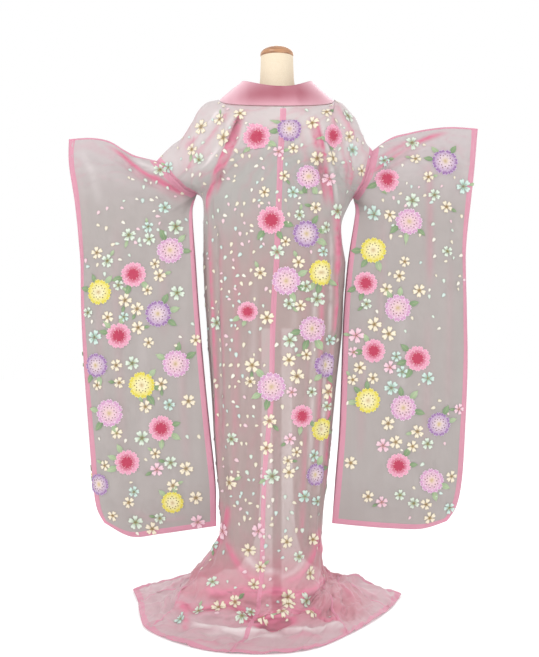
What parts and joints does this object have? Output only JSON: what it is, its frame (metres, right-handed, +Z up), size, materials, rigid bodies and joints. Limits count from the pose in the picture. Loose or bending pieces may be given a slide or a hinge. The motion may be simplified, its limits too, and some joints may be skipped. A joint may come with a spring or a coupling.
{
  "type": "uchikake wedding kimono on a limbless dress form",
  "caption": "Sheer full-length wedding over-kimono with long hanging sleeves and a spread train, hanging open on a limbless dress form with a wooden neck cap, pole and round base.",
  "frame": {"origin": "on the floor under the middle of the whole, half way across its width and depth", "axes": "+Z up; the kimono's back faces -Y and its open front +Y, so the wearer's left is at -X"},
  "size_m": [1.1659, 0.6314, 1.604],
  "materials": {
    "organza": "sheer pale mauve-pink silk organza",
    "organza_front": "sheer pale mauve-pink silk organza",
    "collar_silk": "doubled rose-pink organza",
    "linen": "cream linen jersey over a padded form",
    "wood": "satin varnish",
    "steel": "satin"
  },
  "bodies": {
    "root": {"back_left": "organza", "back_right": "organza", "front_left": "organza", "front_right": "organza", "okumi_left": "organza_front", "okumi_right": "organza_front", "collar": "collar_silk", "sleeve_left_back": "organza", "sleeve_left_front": "organza", "sleeve_right_back": "organza", "sleeve_right_front": "organza", "form_torso": "linen", "form_neck_cap": "wood", "form_pole": "steel", "form_base": "steel"}
  },
  "joints": []
}
